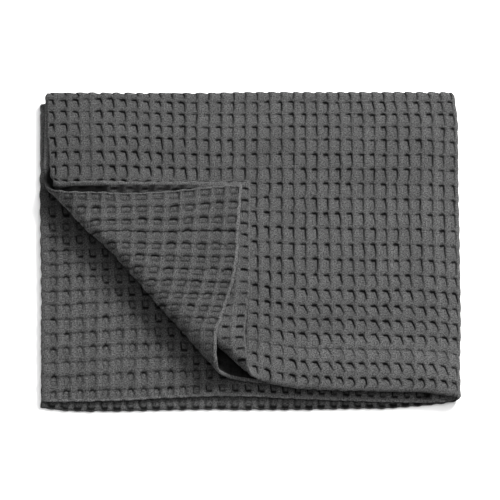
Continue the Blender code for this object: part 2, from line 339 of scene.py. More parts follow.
def fuller(x, y, z):
    """Heights of a stack that is fuller inside than along its folds and edges."""
    inside = smooth((x - FULL_LEFT[0]) / FULL_LEFT[1]) * smooth((FULL_RIGHT[0] - x) / FULL_RIGHT[1])
    inside = inside * smooth((FULL_BACK[0] - y) / FULL_BACK[1]) * smooth((y - FULL_FRONT[0]) / FULL_FRONT[1])
    swell = 1 + sum(size * np.sin(p * x + q * y + offset) for size, p, q, offset in SWELLS)
    return BOTTOM + (z - BOTTOM) * (1 + LOFT * inside * swell)


def middle_surface(a, b):
    """Points in space of the middle of the cloth."""
    x, y, z, inner, lower = quarter_fold(a, b)
    x, y = uneven_edges(x, y, inner, lower)
    x, y, z = turn_corner(x, y, z, inner, lower)
    return np.stack([x - CENTRE[0], y - CENTRE[1], fuller(x, y, z)], axis=1)


def directions(a, b):
    """Unit vectors along a, along b and out of the cloth's outer face."""
    step = 0.0002
    along = middle_surface(a + step, b) - middle_surface(a - step, b)
    across = middle_surface(a, b + step) - middle_surface(a, b - step)
    out = np.cross(along, across)
    return [v / np.linalg.norm(v, axis=1, keepdims=True) for v in (along, across, out)]


def cell_place(column, row, inner_part, lower_part):
    """Flat a and b of a place given in columns and rows of cells."""
    a = mix(inner_part, read_off(OUTER_COLUMNS, column), read_off(INNER_COLUMNS, column))
    first = read_off(OUTER_ROWS, row)
    at_left = smooth((0.20 - a) / 0.14)
    at_back = smooth((first - 0.2) / 0.05)
    first = first + LEFT_ROWS_BACK * at_left * at_back * smooth((CREASE_ROW - row) / 0.8)
    second = read_off(SECOND_ROWS, LAST_ROW - row)
    third = read_off(THIRD_ROWS, LAST_ROW - row)
    slant = np.clip((LENGTH - a - 0.055) / 0.04, -1, 1)
    third = third + THIRD_ROWS_SLANT * slant * smooth(third / 0.02)
    b = np.where(row < CREASE_ROW, first, WIDTH - (1 - lower_part) * second - lower_part * third)
    return a, b


def chance(n, m, seed):
    """A number from -1 to 1 for each cell, always the same."""
    value = np.sin(n * 12.9898 + m * 78.233 + seed * 37.719) * 43758.5453
    return 2 * (value - np.floor(value)) - 1


def drift(p, q, seed):
    """A smooth uneven value from -1 to 1 that changes from cell to cell."""
    n, m = np.floor(p), np.floor(q)
    s, t = smooth(p - n), smooth(q - m)
    low = mix(s, chance(n, m, seed), chance(n + 1, m, seed))
    return mix(t, low, mix(s, chance(n, m + 1, seed), chance(n + 1, m + 1, seed)))


def bell(distance, width):
    """A smooth bump of height 1 at distance 0."""
    return np.exp(-(distance / width) ** 2)


def window(t, low, high, soft):
    """1 from low to high and 0 outside, with edges this soft."""
    return smooth((t - low) / soft + 0.5) * smooth((high - t) / soft + 0.5)


def edge_distance(a, b):
    """How far a place on the flat cloth is from its nearest edge."""
    return np.minimum(np.minimum(a, LENGTH - a), np.minimum(b, WIDTH - b))


# Which layer a place is on.
def is_top(column, row):
    return (row < CREASE_ROW) & (column < TURN_COLUMN)


def is_second(column, row):
    return (row > CREASE_ROW) & (column < TURN_COLUMN)


def is_third(column, row):
    return (row > CREASE_ROW) & (column > TURN_COLUMN + 1)


# How far the upright grooves lean: all over the top layer, more at its back left and at its front right,
# and on the third layer, the other way.
LEAN = 0.0007
LEAN_BACK_LEFT = 0.0016
LEAN_FRONT_RIGHT = 0.0042
LEAN_THIRD = 0.0013


def lean(a, b, column, row):
    """How far the upright grooves lean along the cloth, in metres."""
    whole = np.floor(row)
    part = row - whole
    down = np.where(part > 0.4, 1 - part, 1.5 * part) / 0.6
    up = np.where(part < 0.6, part, 1.5 * (1 - row + whole)) / 0.6
    most = LEAN + LEAN_BACK_LEFT * smooth((0.2 - a) / 0.1) * smooth((b - 0.2) / 0.1)
    most = most + LEAN_FRONT_RIGHT * smooth((0.17 - b) / 0.08) * smooth((a - 0.24) / 0.1)
    return np.where(is_top(column, row), most * down, np.where(is_third(column, row), -LEAN_THIRD * up, 0))


# How far cells stray along and across the cloth, singly and in patches of several.
STRAY = (0.0007, 0.0006)
PATCH_STRAY = (0.0012, 0.0010)
# The scallops of the cloth's four edges: how deep they are and how far in they reach.
SIDE_SCALLOP = 0.0009
FIRST_SCALLOP = 0.0008
LAST_SCALLOP = 0.0006
SCALLOP_REACH = 0.009
# Where in a cell its ribs are.
RIB_ROW = 0.25
RIB_COLUMN = 0.27


def uneven_cells(a, b, column, row):
    """The same flat places with leaning, wandering lines of cells and scalloped edges."""
    free = smooth((edge_distance(a, b) - 0.001) / 0.008)
    off_turn = smooth(np.abs(column - TURN_COLUMN) / 2.5)
    patch = (column / 5, row / 4)
    astray_a = lean(a, b, column, row) * off_turn + STRAY[0] * drift(column, row, 1) * off_turn
    astray_a = astray_a + PATCH_STRAY[0] * drift(*patch, 2) * off_turn
    astray_b = STRAY[1] * drift(column, row, 3) + PATCH_STRAY[1] * drift(*patch, 4)
    ribs_row = 0.6 * np.cos(2 * np.pi * (row - RIB_ROW)) + 0.4 * chance(0, np.floor(row), 5)
    ribs_column = 0.6 * np.cos(2 * np.pi * (column - RIB_COLUMN)) + 0.4 * chance(np.floor(column), 0, 6)
    left, right, front, back = (1 - smooth(v / SCALLOP_REACH) for v in (a, LENGTH - a, b, WIDTH - b))
    new_a = a + free * astray_a - SIDE_SCALLOP * ribs_row * left + SIDE_SCALLOP * ribs_row * right
    new_b = b + free * astray_b - FIRST_SCALLOP * ribs_column * front + LAST_SCALLOP * ribs_column * back
    return new_a, new_b


def lattice_place(i, j):
    """Column, row, and the shares of inner and lower layer, at mesh steps i and j along and across."""
    cell_i = np.minimum(i // FINE, CELLS_ALONG - 1)
    cell_j = np.minimum(j // FINE, CELLS_ACROSS - 1)
    step_i = i - FINE * cell_i
    step_j = j - FINE * cell_j
    inner_part = smooth(cell_j + step_j / FINE - CREASE_ROW - 0.5)
    u = mix(inner_part, OUTER_STEPS[step_i], INNER_STEPS[step_i])
    first_column = mix(inner_part, OUTER_COLUMNS[0, 0], INNER_COLUMNS[0, 0])
    column = np.where(cell_i == 0, first_column * (1 - u), cell_i - 1 + u)
    lower_part = smooth((column - (TURN_COLUMN - 2)) / 3)
    v = np.where(cell_j <= CREASE_ROW, OUTER_STEPS[step_j], INNER_STEPS[step_j])
    past_last = -mix(lower_part, SECOND_ROWS[0, 0], THIRD_ROWS[0, 0])
    row = np.where(cell_j == 0, OUTER_ROWS[0, 0] * (1 - v), cell_j - 1 + v)
    row = np.where(cell_j == CELLS_ACROSS - 1, LAST_ROW + v * past_last, row)
    return column, row, inner_part, lower_part


def before_corner(a, b):
    """Where a place lies before the corner turns, and how far it is past the fold, and the loop's length."""
    x, y, _, inner, lower = quarter_fold(a, b)
    x, y = uneven_edges(x, y, inner, lower)
    gone, _, _, _, length = past_fold(x, y, inner)
    return x, y, gone, length


EDGE_CELLS = 4  # cells along the edges of the bottom layer that stay medium fine
LOOP_MARGIN = 0.012  # how far beyond the turned corner's loop the mesh stays fine
FLAP_COVERS = (-0.24, -0.020, 0.074)  # what the turned corner covers: least gone, most x and most y


def levels():
    """How many mesh steps each cell has along and across, on its outer and on its inner face."""
    ci, cj = np.indices((CELLS_ALONG, CELLS_ACROSS))
    column = np.clip(ci - 0.5, -0.2, LAST_COLUMN)
    row = np.clip(cj - 0.5, -0.3, LAST_ROW + 0.1)
    inner_ply = cj > CREASE_ROW
    lower_run = ci > TURN_COLUMN + 1
    parts = (inner_ply.ravel().astype(float), lower_run.ravel().astype(float))
    a, b = cell_place(column.ravel(), row.ravel(), *parts)
    x, y, gone, length = (v.reshape(ci.shape) for v in before_corner(a, b))
    top = ~inner_ply & ~lower_run
    second = inner_ply & ~lower_run
    third = inner_ply & lower_run
    bottom = ~inner_ply & lower_run
    turning = gone > -LOOP_MARGIN
    in_loop = turning & (gone < length + LOOP_MARGIN)
    covered = (gone > FLAP_COVERS[0]) & (x < FLAP_COVERS[1]) & (y < FLAP_COVERS[2])
    front_strip = (y < -0.160) & (x < 0.20)
    crease = (cj == CREASE_ROW) | (cj == CREASE_ROW + 1)
    turn = (ci >= TURN_COLUMN - 1) & (ci <= TURN_COLUMN + 2)
    off_turn = ci > TURN_COLUMN + 2

    outer_face = np.full(ci.shape + (2,), HIDDEN)
    outer_face[top] = FINE
    outer_face[top & covered & (gone < -LOOP_MARGIN)] = HIDDEN
    outer_face[top & (gone > length + LOOP_MARGIN)] = HIDDEN
    outer_face[second & turning] = FINE
    outer_face[third & ((gone > -0.02) | front_strip)] = FINE
    outer_face[bottom] = MEDIUM
    outer_face[bottom & off_turn & (ci < LAST_COLUMN - EDGE_CELLS) & (cj > EDGE_CELLS), 0] = COARSE
    outer_face[crease, 1] = FINE
    outer_face[turn, 0] = FINE
    outer_face[turn & ~inner_ply, 1] = MEDIUM
    outer_face[turn & ~inner_ply & (ci <= TURN_COLUMN), 1] = FINE
    outer_face[off_turn & crease] = (COARSE, MEDIUM)
    outer_face[crease & ~inner_ply & (ci < TURN_COLUMN + 2), 0] = FINE

    inner_face = np.full(ci.shape + (2,), HIDDEN)
    inner_face[(top | second) & in_loop] = MEDIUM
    inner_face[top & turning & ((cj < 2) | (ci < 2))] = FINE
    inner_face[second & in_loop & (y < -0.10)] = FINE
    inner_face[bottom & (cj < 2) & (x < 0.20)] = FINE
    inner_face[crease, 1] = MEDIUM
    inner_face[turn, 0] = MEDIUM
    return outer_face, inner_face


def stitch(outer, inner, flip):
    """Triangles between two rows of points, each given as (place along the row, point)."""
    found = []
    i = j = 0
    while i < len(outer) - 1 or j < len(inner) - 1:
        take_outer = j == len(inner) - 1
        if i < len(outer) - 1 and not take_outer:
            take_outer = outer[i + 1][0] <= inner[j + 1][0]
        if take_outer:
            found.append((outer[i][1], outer[i + 1][1], inner[j][1]))
            i += 1
        else:
            found.append((outer[i][1], inner[j + 1][1], inner[j][1]))
            j += 1
    return [t[::-1] for t in found] if flip else found


def cell_template(steps, sides):
    """Triangles of one cell with this many steps each way, and these many along its four sides."""
    si, sj = FINE // max(steps[0], 2), FINE // max(steps[1], 2)
    inner_i = list(range(si, FINE, si))
    inner_j = list(range(sj, FINE, sj))
    found = []
    for m in range(len(inner_i) - 1):
        for n in range(len(inner_j) - 1):
            p, q, r, s = inner_i[m], inner_i[m + 1], inner_j[n], inner_j[n + 1]
            if (m + n) % 2:
                found += [((p, r), (q, r), (q, s)), ((p, r), (q, s), (p, s))]
            else:
                found += [((p, r), (q, r), (p, s)), ((q, r), (q, s), (p, s))]
    low, high, first, last = sides
    bottom = [(k, (k, 0)) for k in range(0, FINE + 1, FINE // first)]
    top = [(k, (k, FINE)) for k in range(0, FINE + 1, FINE // last)]
    left = [(k, (0, k)) for k in range(0, FINE + 1, FINE // low)]
    right = [(k, (FINE, k)) for k in range(0, FINE + 1, FINE // high)]
    found += stitch(bottom, [(k, (k, inner_j[0])) for k in inner_i], False)
    found += stitch(top, [(k, (k, inner_j[-1])) for k in inner_i], True)
    found += stitch(left, [(k, (inner_i[0], k)) for k in inner_j], True)
    found += stitch(right, [(k, (inner_i[-1], k)) for k in inner_j], False)
    return np.array(found)


def side_steps(face, other):
    """Mesh steps along each cell's left, right, front and back side, as fine as its finer neighbour."""
    along, across = face[..., 0], face[..., 1]
    left, right, front, back = across.copy(), across.copy(), along.copy(), along.copy()
    left[1:] = right[:-1] = np.maximum(across[1:], across[:-1])
    front[:, 1:] = back[:, :-1] = np.maximum(along[:, 1:], along[:, :-1])
    left[0] = np.maximum(across[0], other[0, :, 1])
    right[-1] = np.maximum(across[-1], other[-1, :, 1])
    front[:, 0] = np.maximum(along[:, 0], other[:, 0, 0])
    back[:, -1] = np.maximum(along[:, -1], other[:, -1, 0])
    return np.stack([left, right, front, back], axis=-1)


def face_triangles(face, other):
    """All triangles of one face of the cloth, as mesh steps i and j of their corners."""
    sides = side_steps(face, other)
    keys = np.concatenate([face, sides], axis=-1).reshape(-1, 6)
    kinds, which = np.unique(keys, axis=0, return_inverse=True)
    which = which.ravel()
    cells = FINE * np.indices(face.shape[:2]).reshape(2, -1).T
    found = []
    for n, kind in enumerate(kinds):
        template = cell_template(kind[:2], kind[2:])
        starts = cells[which == n]
        found.append((starts[:, None, None, :] + template[None]).reshape(-1, 3, 2))
    return np.concatenate(found)


def step_number(i, j):
    """A number of its own for each place in mesh steps."""
    return i * (LAST_J + 1) + j


def numbered(triangles):
    """Unique mesh steps and the triangles as numbers of those."""
    unique, numbers = np.unique(step_number(triangles[..., 0], triangles[..., 1]), return_inverse=True)
    return unique // (LAST_J + 1), unique % (LAST_J + 1), numbers.reshape(-1, 3)


def style_of(shares):
    """The pocket style at each place, mixed by the shares of the named styles."""
    total = sum(shares.values())
    numbers = range(len(STYLES["outer"]))
    return [sum(share * STYLES[name][k] for name, share in shares.items()) / total for k in numbers]


def outer_shares(column, row, x, y, gone):
    """The share of each pocket style on the outer face."""
    inner_ply = row > CREASE_ROW
    lower_run = column > TURN_COLUMN + 1
    from_front = np.where(inner_ply, LAST_ROW - row, row)
    from_side = np.where(lower_run, LAST_COLUMN - column, column)
    second = (inner_ply & ~lower_run).astype(float)
    third = (inner_ply & lower_run).astype(float)
    outer = 1 - second - third
    sewn_row = window(from_front, HEM_ROW - 0.85, HEM_ROW + 0.15, 0.12)
    sewn_column = window(from_side, HEM_COLUMN - 0.9, HEM_COLUMN + 0.1, 0.12) * (column < TURN_COLUMN)
    sewn_flap = window(from_side, HEM_COLUMN - 0.5, HEM_COLUMN + 0.5, 0.12)
    hem_row = smooth((HEM_ROW - 0.85 - from_front) / 0.12 + 0.5)
    hem_flap = smooth((HEM_COLUMN - 0.5 - from_side) / 0.12 + 0.5)
    shaded = np.maximum(smooth((0.050 - gone) / 0.02), smooth((x + 0.075) / 0.02) * (y < -0.12))
    sewn = np.maximum(sewn_row, sewn_column)
    plain = outer * (1 - sewn) * (1 - hem_row)
    loose = np.maximum(smooth((14 - column) / 6), smooth((8 - row) / 3))
    return {
        "sewn": outer * sewn,
        "hem": outer * (1 - sewn) * hem_row,
        "folded": plain * loose,
        "outer": plain * (1 - loose),
        "flap_sewn": second * sewn_flap,
        "flap_hem": second * (1 - sewn_flap) * hem_flap,
        "flap": second * (1 - sewn_flap) * (1 - hem_flap),
        "shaded_hem": third * shaded * (from_front < 0.2),
        "shaded": third * shaded * (from_front >= 0.2),
        "third_sewn": third * (1 - shaded) * sewn_row,
        "third": third * (1 - shaded) * (1 - sewn_row),
    }


GROOVE_DEPTH = 1.5  # depth in millimetres of a groove of 1
MOST_GROOVE = 1.15  # where grooves meet, they get no deeper than this


def pocket_grooves(u, v, style, odd):
    """Depth, from 0 to about 1, of the grooves round a pocket at u and v in its cell."""
    left, low, top, right, front, side, bow, link, short = style
    in_pocket = window(u, left + 0.08 * odd[7], 1.01, 0.12)
    from_middle = 2 * (u - 0.5 * (1 + left)) / (1 - left)
    bowed = 1 - bow * from_middle ** 2 + 0.03 * odd[0] + 0.15 * odd[6] * (u - 0.8)
    upper = top * (1 + 0.3 * odd[1]) * bell(v - bowed, 0.070 * (1 + 0.25 * odd[1])) * in_pocket
    run_on = link * bell(v - 1 + 0.05 + 0.04 * odd[2], 0.04) * (1 - in_pocket)
    reach = short + 0.18 * odd[3]
    fading = 0.55 + 0.45 * np.clip((v - reach) / (1 - reach), 0, 1)
    wander = 1 + 0.02 * odd[8] + 0.025 * np.sin(2 * np.pi * (1.2 * v + odd[9]))
    upright = right * (1 + 0.3 * odd[4]) * fading * bell(u - wander, 0.078) * window(v, reach, 1.03, 0.14)
    beside = side * (1 + 0.3 * odd[5]) * bell(u - left, 0.06) * window(v, low, 1, 0.08)
    under = front * (1 - 0.25 * odd[1]) * bell(v - low, 0.070) * in_pocket
    deepest = np.maximum(np.maximum(upper, upright), np.maximum(np.maximum(beside, under), run_on))
    return np.clip(deepest, 0, MOST_GROOVE)


def pocket_relief(u, v, style, seed):
    """Height in millimetres, groove, painted light and shade with a random part, and threads of pockets at u
    and v, cells to the right and up.
    """
    n, m = np.floor(u - 0.2), np.floor(v - 0.2)
    u, v = u - n, v - m
    left, low = style[:2]
    odd = [chance(n, m, seed + k) for k in range(10)]
    groove = pocket_grooves(u, v, style, odd)
    across = np.where(u > 1, u - 1, u)
    rib_middle = 0.5 * left + 0.02
    rib = bell(across - rib_middle, 0.55 * left)
    pillow = rib * (0.5 + 0.5 * np.cos(2 * np.pi * (v - 0.58)))
    pad_u = np.clip((u - left) / (1 - left), 0, 1)
    pad_v = np.clip((v - low) / (1 - low), 0, 1)
    pad = np.sin(np.pi * pad_u) * np.sin(np.pi * pad_v)
    sunk = window(u, left, 1.0, 0.16) * window(v, low, 1.0, 0.16)
    band = bell(v - 0.5 * low, 0.4 * low) * (1 - rib)
    height = 0.25 * rib + 0.35 * pillow + 0.15 * band
    height = height + sunk * (0.50 * pad * (1 + 0.3 * odd[0]) - 0.60 - 0.25 * pad_u * pad_v)
    # Painted shade in the sunk pockets and between the ribs, painted light on the raised pillows, and a
    # random part from cell to cell.
    tone = 1 + 0.18 * pillow - 0.18 * sunk * (1 - 0.9 * pad) - 0.08 * (1 - rib) * (1 - sunk) + 0.07 * odd[2]
    threads = np.clip(1 - 1.4 * rib, 0, 1)
    return height - GROOVE_DEPTH * groove, groove, tone, threads


# The crease beside the top layer's left hem: a at its back end, how far over its front end is, and b
# where it ends in front and at the back.
HEM_CREASE = (0.055, 0.017)
HEM_CREASE_ENDS = (0.273, 0.337)
# The valley across the turned corner and the dimple beside it, by a and by the distance from the rim.
VALLEY = (0.091, 0.07)
DIMPLE = (0.094, 0.047)


def creases(a, b, column, row):
    """Height in millimetres of the main creases and swells of the outer face."""
    front, back = HEM_CREASE_ENDS
    aside = a - HEM_CREASE[0] - HEM_CREASE[1] * np.clip((back - b) / (back - front), 0, 1)
    fade = smooth((back + 0.008 - b) / 0.01) * smooth((b - front + 0.011) / 0.01)
    line = (0.35 * bell(aside + 0.0035, 0.003) - 0.65 * bell(aside, 0.0018)) * fade * is_top(column, row)
    width = WIDTH - b
    valley = -1.1 * bell(a - VALLEY[0] + 0.1 * (width - VALLEY[1]), 0.007) * window(width, 0.03, 0.115, 0.02)
    dimple = -0.9 * bell(np.hypot(a - DIMPLE[0], width - DIMPLE[1]), 0.009)
    swell = 0.35 * drift(column / 4.3, row / 3.1, 11) + 0.2 * drift(column / 2.2, row / 1.7, 12)
    return line + (valley + dimple) * is_second(column, row) + swell


CURL = 0.0030  # how far the turned corner's hem edges curl up at its left end
TIP = (-0.2387, 0.0797)  # where the top layer's corner is there
TIP_ROUNDING = 0.0038  # how far it is rounded off, and how far along the edges that reaches
TIP_REACH = 0.0082
BACK_FULLER = 0.0009  # how much further back the crease lies at the left, and twice that at the right
RIM = 0.0012  # how far the rounded rim stands out past the cloth's last mesh line
RIM_ROUND = 0.0005  # how far its two outer rings lie behind its tip
HEM_ROUNDING = 0.0042  # how far in from the tip the hem has its full thickness


def end_profile(distance):
    """Share of the full thickness at a distance in from the tip of the rounded hem edge."""
    return np.sqrt(1 - (1 - np.clip(distance / HEM_ROUNDING, 0, 1)) ** 2.2)


def lifted(points, a, b, column, row):
    """The same points where the corner's hem edges curl up, its tip is round and the back is fuller."""
    _, y, gone, _ = before_corner(a, b)
    turned = smooth(gone / 0.006)
    top = is_top(column, row)
    rise = CURL * bell(a, 0.0042) * top * turned * smooth(y / 0.02)
    second_hem = (1 - smooth(a / 0.014)) * is_second(column, row)
    rise = rise + CURL * second_hem * turned * smooth((y + 0.03) / 0.04)
    from_tip = np.hypot(points[:, 0] - TIP[0], points[:, 1] - TIP[1])
    push = TIP_ROUNDING * bell(from_tip, TIP_REACH) * top
    at_crease = smooth((points[:, 1] - 0.160) / 0.035) * (column < TURN_COLUMN + 3)
    fuller_back = BACK_FULLER * (1 + smooth((points[:, 0] + 0.05) / 0.10)) * at_crease
    return points + np.stack([push, push + fuller_back, rise], axis=1)


def gap_shade(a, b, column, row, y, gone, length):
    """How dark the inner face is in the gap between the two turned hem edges and inside the loop."""
    near_edge = a < 0.02
    # On the top layer: beads between the cells in front, and one dark line further back.
    wide = smooth((y + 0.005) / 0.03)
    beads = 0.45 + 0.50 * (0.5 + 0.5 * np.cos(2 * np.pi * (row - 0.1)))
    strength = np.where(y < 0.010, beads * smooth((y + 0.115) / 0.03), 1.0)
    start = mix(wide, 0.0024, 0.0040) - 0.0012 * smooth((y - 0.065) / 0.01)
    gap = strength * smooth((a - start) / 0.0012) * (gone > -0.002) * is_top(column, row) * (b > 0.03)
    # On the second layer: beside its rim at the back, and all through its loop.
    second = is_second(column, row)
    aside = 0.0024 - 0.0010 * bell(y - 0.088, 0.012)
    beside = smooth((a - aside) / 0.001) * smooth((0.16 - y) / 0.06)
    beside = beside * smooth((0.014 - gone) / 0.004) * (y > 0.05) * second
    from_rim = smooth((WIDTH - b - 0.0022) / 0.0015)
    in_loop = smooth((gone + 0.012) / 0.01) * smooth((1.1 * length - gone) / 0.006)
    inside = 0.95 * in_loop * second * from_rim
    return np.clip(gap * near_edge + beside * near_edge + inside, 0, 1)


def corner_shade(x, y):
    """How dark the third layer is close by the turned corner, where little light comes in."""
    share = (x - y - FOLD_ENDS[0]) / (FOLD_ENDS[1] - FOLD_ENDS[0])
    start, reach, _, _ = loop_sizes(share, np.ones_like(x))
    outside = (FOLD_SUM - x - y) / np.sqrt(2) - reach + start
    share = np.clip(share, 0, 1.2)
    near = bell(outside - 0.008, 0.014 + 0.002 * share)
    return (0.50 - 0.20 * share) * near * smooth((1.06 - share) / 0.2)


def wedge_shade(x, y, gone):
    """How dark the turned top layer is in the narrow end of the hollow beside the second layer's rim."""
    aside = FOLD_SUM - y + 0.0400
    ahead = FOLD_SUM - x + 0.1150
    return 0.85 * bell(aside, 0.0018) * bell(ahead, 0.0065) * (gone > 0)


def crest_light(x, y, gone, length):
    """Painted highlight: how much lighter the crest of the second layer's loop is."""
    at_crest = 1.1 * bell(gone - 0.53 * length, 0.0016)
    behind = 0.35 * window(gone, 0.5 * length, 0.85 * length, 0.004)
    return smooth((0.015 - x + y) / 0.05) * (gone > 0) * (at_crest + behind)


OUTER_SEED = 20  # the pockets' chance values on the outer face, and on the inner one
INNER_SEED = 40
HOLLOW_SHADE = 0.97  # how much darker the darkest hollows are


def outer_relief(a, b, column, row, x, y, gone, length):
    """Height in millimetres, groove, painted light and shade with a random part, and threads of the outer
    face.
    """
    second = (row > CREASE_ROW) & (column < TURN_COLUMN + 1)
    third = (row > CREASE_ROW) & ~second
    u = np.where(second, row, np.where(third, -column, column))
    v = np.where(second, -column, np.where(third, -row, row))
    style = style_of(outer_shares(column, row, x, y, gone))
    height, groove, tone, threads = pocket_relief(u, v, style, OUTER_SEED)
    # The turned corner is calmer over the front of its loop.
    calm = smooth((1.15 * length - gone) / 0.015) * smooth((-0.085 - y) / 0.03) * second
    height = height * (1 - 0.3 * calm)
    groove = groove * (1 - 0.55 * calm)
    height = height + creases(a, b, column, row)
    # The ribs stand out on the crease at the back and on the turn at the right.
    columns_round = np.cos(2 * np.pi * (column - RIB_COLUMN)) * bell(row - CREASE_ROW, 0.5)
    rows_round = np.cos(2 * np.pi * (row - RIB_ROW)) * bell(column - TURN_COLUMN, 0.9)
    height = height + 0.15 * columns_round + 0.50 * rows_round * smooth((CREASE_ROW - row) / 1.5)
    return height, groove, tone * (1 + second * crest_light(x, y, gone, length)), threads


def inner_relief(column, row):
    """Height in millimetres, groove, painted light and shade with a random part, and threads of the inner
    face.
    """
    upper = column < TURN_COLUMN
    style = style_of({"upper_strip": upper.astype(float), "lower_strip": 1.0 - upper})
    u = np.where(upper, 0.314 - row, -column)
    v = np.where(upper, 0.1 - column, row + 1.21)
    height, groove, tone, threads = pocket_relief(u, v, style, INNER_SEED)
    return 0.75 * height, groove, tone, threads


def outer_light(b, column, row, x, y, gone):
    """How light the outer face is painted beside its pockets: painted highlights on the rims of hem edges,
    painted shade by the turned corner, and lighter and darker stretches of the top and third layers.
    """
    third = (row > CREASE_ROW) & (column >= TURN_COLUMN + 1)
    top = (row < CREASE_ROW + 1) & (column < TURN_COLUMN)
    # Painted highlights along the turned second layer's front rim and on the third layer's front edge;
    # painted shade on the third layer by the turned corner.
    near_rim = (1 - smooth((WIDTH - b - 0.001) / 0.004)) * (column < TURN_COLUMN)
    tip = (1 - smooth((WIDTH - b) / 0.0014)) * (column > TURN_COLUMN + 1)
    left_strip = third * smooth((-0.243 - x) / 0.003) * smooth((y - 0.085) / 0.01)
    light = 1 + 0.30 * near_rim * (y < -0.10) * smooth(gone / 0.004)
    light = light * (1 + 0.8 * tip) * (1 - corner_shade(x, y) * third)
    # The third layer is painted lighter further from the turned corner and along its left strip.
    light = light * (1 + 0.10 * third * smooth((gone - 0.06) / 0.03)) * (1 + 0.30 * left_strip)
    # The top layer is painted lighter towards its front and darker towards its back.
    return light * (1 + top * (0.14 * smooth((-0.09 - y) / 0.05) - 0.11 * smooth((y - 0.02) / 0.10)))


def inner_light(a, b, column, row, x, y, gone, length):
    """How light the inner face is painted beside its pockets: painted shade in the gap, in the loop and in
    the narrow end of the hollow, and a strip painted lighter along the second layer's left edge.
    """
    left_strip = (row > CREASE_ROW) * (1 - smooth((a - 0.0030) / 0.001)) * (y > 0.05)
    light = 1 - HOLLOW_SHADE * gap_shade(a, b, column, row, y, gone, length)
    return light * (1 - wedge_shade(x, y, gone) * (row < CREASE_ROW)) * (1 + 0.45 * left_strip)


def raised_face(i, j, side):
    """One face of the cloth at mesh steps i and j, side 1 for the outer and -1 for the inner one."""
    column, row, inner_part, lower_part = lattice_place(i, j)
    flat_a, flat_b = cell_place(column, row, inner_part, lower_part)
    a, b = uneven_cells(flat_a, flat_b, column, row)
    middle = middle_surface(a, b)
    along, across, out = directions(a, b)
    x, y, gone, length = before_corner(a, b)
    if side > 0:
        height, groove, tone, threads = outer_relief(a, b, column, row, x, y, gone, length)
        underneath = (row < CREASE_ROW + 0.5) & (out[:, 2] < -0.5)
        height = np.where(underneath, np.minimum(height, 0), height)
        light = outer_light(b, column, row, x, y, gone)
    else:
        height, groove, tone, threads = inner_relief(column, row)
        light = inner_light(a, b, column, row, x, y, gone, length)
    edge = edge_distance(flat_a, flat_b)
    inside = smooth((edge - 0.0004) / 0.0016)
    thick = 0.5 * SHEET * end_profile(edge + RIM)
    points = middle + side * out * (thick + MILLIMETRE * height * inside)[:, None]
    marked = np.where((side < 0) & (column > TURN_COLUMN) & (row < 1), 1, inside)
    return SimpleNamespace(
        points=lifted(points, a, b, column, row), a=a, b=b, column=column, row=row, middle=middle,
        along=along, across=across, out=out, threads=threads,
        groove=groove * marked, tone=(1 + (tone - 1) * inside) * light,
    )


def rim_order(i, j):
    """The points on the cloth's edge, in order all the way round."""
    front = sorted((i[k], k) for k in np.flatnonzero(j == 0))
    right = sorted((j[k], k) for k in np.flatnonzero((i == LAST_I) & (j > 0)))
    back = sorted((-i[k], k) for k in np.flatnonzero((j == LAST_J) & (i < LAST_I)))
    left = sorted((-j[k], k) for k in np.flatnonzero((i == 0) & (j > 0) & (j < LAST_J)))
    return np.array([k for side in (front, right, back, left) for _, k in side])


# The material's third coordinate, beside a and b: 0 on the outer face, growing round the rim.
INNER_LEVEL = 0.0050


def rim_rings(outer, order, outward):
    """Points of the three rings round the cloth's edge, from the outer face to the inner one."""
    rings = []
    for tip, side in ((RIM_ROUND, 1), (0.0, 0), (RIM_ROUND, -1)):
        half = 0.5 * SHEET * end_profile(tip) * side
        place = outer.middle[order] + outer.out[order] * half + outward * (RIM - tip)
        rings.append(lifted(place, outer.a[order], outer.b[order], outer.column[order], outer.row[order]))
    return rings


def build_cloth():
    """Points, faces, flat places and looks of the whole cloth: both faces and the rim between them."""
    outer_face, inner_face = levels()
    oi, oj, outer_numbers = numbered(face_triangles(outer_face, inner_face))
    ii, ij, inner_numbers = numbered(face_triangles(inner_face, outer_face))
    outer = raised_face(oi, oj, 1)
    inner = raised_face(ii, ij, -1)
    order = rim_order(oi, oj)
    partner = np.searchsorted(step_number(ii, ij), step_number(oi, oj)[order])
    outward = outer.along * ((oi == LAST_I).astype(float) - (oi == 0))[:, None]
    outward = (outward + outer.across * ((oj == LAST_J).astype(float) - (oj == 0))[:, None])[order]
    outward /= np.linalg.norm(outward, axis=1, keepdims=True)
    rim_points = rim_rings(outer, order, outward)
    count = len(order)
    first_inner = len(outer.points)
    first_rim = first_inner + len(inner.points)
    points = np.concatenate([outer.points, inner.points] + rim_points)
    rings = [order] + [first_rim + k * count + np.arange(count) for k in range(len(rim_points))]
    rings.append(first_inner + partner)
    faces = outer_numbers.tolist() + (inner_numbers + first_inner)[:, ::-1].tolist()
    for high, low in zip(rings[:-1], rings[1:]):
        faces += np.stack([high, low, np.roll(low, -1), np.roll(high, -1)], axis=1).tolist()

    def everywhere(name):
        values, inner_values = getattr(outer, name), getattr(inner, name)
        on_rim = [mix(t, values[order], inner_values[partner]) for t in (0.2, 0.5, 0.8)]
        return np.concatenate([values, inner_values] + on_rim)

    looks = {name: everywhere(name) for name in ("groove", "tone", "threads")}
    around = np.repeat(RIM * np.arange(1, 1 + len(rim_points)), count)
    around = np.concatenate([np.zeros(first_inner), np.full(len(inner.points), INNER_LEVEL), around])
    cloth = np.stack([everywhere("a"), everywhere("b"), around], axis=1)
    return points, faces, cloth, looks


def add_object(name, data):
    """A new object in the scene."""
    thing = bpy.data.objects.new(name, data)
    bpy.context.scene.collection.objects.link(thing)
    return thing


